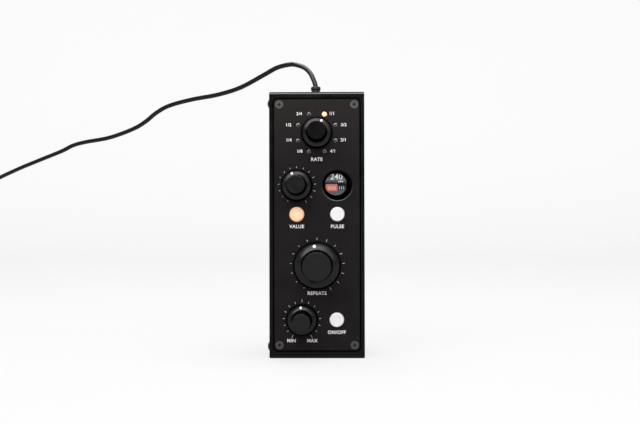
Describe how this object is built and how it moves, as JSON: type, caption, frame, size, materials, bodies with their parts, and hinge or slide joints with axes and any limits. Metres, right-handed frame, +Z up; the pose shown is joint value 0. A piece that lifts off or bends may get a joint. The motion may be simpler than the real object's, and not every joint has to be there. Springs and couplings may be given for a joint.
{
  "type": "delay unit",
  "caption": "Upright black desktop delay unit for audio, with skirted knobs, push buttons, dial lights, a round display and a captive cord with a plug.",
  "frame": {"origin": "middle of the case's bottom face, where the unit stands", "axes": "+Z up along the case, +Y to the back, so the front panel faces -Y, +X to the right seen from the front"},
  "size_m": [0.3646, 0.1887, 0.1994],
  "materials": {
    "case_black": "matt black paint",
    "screw_black": "black screws",
    "panel_charcoal": "matt charcoal paint, printed in pale grey",
    "screw_grey": "dulled steel",
    "rubber_black": "matt",
    "board_green": "lacquered circuit board",
    "brass": "turned",
    "screw_steel": "plated",
    "control_dark": "moulded",
    "control_metal": "stamped",
    "steel": "plated",
    "light_clear": "clear lens, unlit",
    "light_lit": "lit lens",
    "spacer_black": "moulded",
    "switch_black": "moulded",
    "lamp": "lamp chip",
    "window_clear": "clear, slightly smoked",
    "bezel_black": "matt black",
    "screen": "lit screen",
    "board_blue": "lacquered circuit board",
    "capacitor": "can",
    "ribbon_grey": "flat cable",
    "header_cream": "moulded",
    "cord_black": "satin",
    "tie_black": "woven strap",
    "grip_black": "satin",
    "plug_steel": "plated",
    "tongue_white": "moulded",
    "knob_black": "soft-touch satin",
    "dot_white": "moulded",
    "shaft_steel": "turned",
    "button_white": "milky cap",
    "button_lit": "milky cap, lit from behind",
    "plunger_cream": "moulded"
  },
  "bodies": {
    "unit": {"case_body": "case_black", "side_cover": "case_black", "side_cover_screws": "screw_black", "front_panel": "panel_charcoal", "front_panel_screws": "screw_grey", "rear_feet": "rubber_black", "control_board": "board_green", "board_standoffs": "brass", "board_screws": "screw_steel", "time_switch_body": "control_dark", "param_pot_body": "control_dark", "feedback_pot_body": "control_dark", "mix_pot_body": "control_dark", "control_rear_covers": "control_metal", "control_washers": "steel", "control_nuts": "steel", "dial_lights": "light_clear", "dial_light_lit": "light_lit", "light_spacers": "spacer_black", "button_switches": "switch_black", "button_lamps": "lamp", "display_window": "window_clear", "display_bezel": "bezel_black", "display_screen": "screen", "display_board": "board_blue", "main_board": "board_green", "main_board_screws": "screw_steel", "board_chips": "switch_black", "board_capacitors": "capacitor", "ribbon_cable": "ribbon_grey", "ribbon_headers": "header_cream", "cord_bush": "rubber_black", "cord_bush_nut": "steel", "cord_tail": "cord_black", "cord_header": "header_cream", "cord": "cord_black", "cord_coil": "cord_black", "coil_tie": "tie_black", "plug_grip": "grip_black", "plug_shell": "plug_steel", "plug_tongue": "tongue_white"},
    "time_dial": {"time_knob": "knob_black", "time_pointer": "dot_white", "time_shaft": "shaft_steel"},
    "param_dial": {"param_knob": "knob_black", "param_pointer": "dot_white", "param_shaft": "shaft_steel"},
    "feedback_dial": {"feedback_knob": "knob_black", "feedback_pointer": "dot_white", "feedback_shaft": "shaft_steel"},
    "mix_dial": {"mix_knob": "knob_black", "mix_pointer": "dot_white", "mix_shaft": "shaft_steel"},
    "param_key": {"param_button": "button_lit", "param_plunger": "plunger_cream"},
    "tempo_key": {"tempo_button": "button_white", "tempo_plunger": "plunger_cream"},
    "on_off_key": {"on_off_button": "button_white", "on_off_plunger": "plunger_cream"}
  },
  "joints": [
    {"name": "time_turn", "type": "hinge", "parent": "unit", "child": "time_dial", "pos_m": [0, -0.0223, 0.1467], "axis": [0, 1, 0], "range_deg": [-180, 135]},
    {"name": "param_turn", "type": "hinge", "parent": "unit", "child": "param_dial", "pos_m": [-0.0131, -0.0223, 0.1124], "axis": [0, 1, 0], "range_deg": [-128.6, 171.4]},
    {"name": "feedback_turn", "type": "hinge", "parent": "unit", "child": "feedback_dial", "pos_m": [0, -0.0223, 0.0604], "axis": [0, 1, 0], "range_deg": [-142.5, 157.5]},
    {"name": "mix_turn", "type": "hinge", "parent": "unit", "child": "mix_dial", "pos_m": [-0.0098, -0.0223, 0.0251], "axis": [0, 1, 0], "range_deg": [-144.7, 155.3]},
    {"name": "param_press", "type": "slide", "parent": "unit", "child": "param_key", "axis": [0, 1, 0], "range_m": [0, 0.0008], "stiffness_N_per_m": 400, "springref_m": -0.002},
    {"name": "tempo_press", "type": "slide", "parent": "unit", "child": "tempo_key", "axis": [0, 1, 0], "range_m": [0, 0.0008], "stiffness_N_per_m": 400, "springref_m": -0.002},
    {"name": "on_off_press", "type": "slide", "parent": "unit", "child": "on_off_key", "axis": [0, 1, 0], "range_m": [0, 0.0008], "stiffness_N_per_m": 400, "springref_m": -0.002}
  ]
}
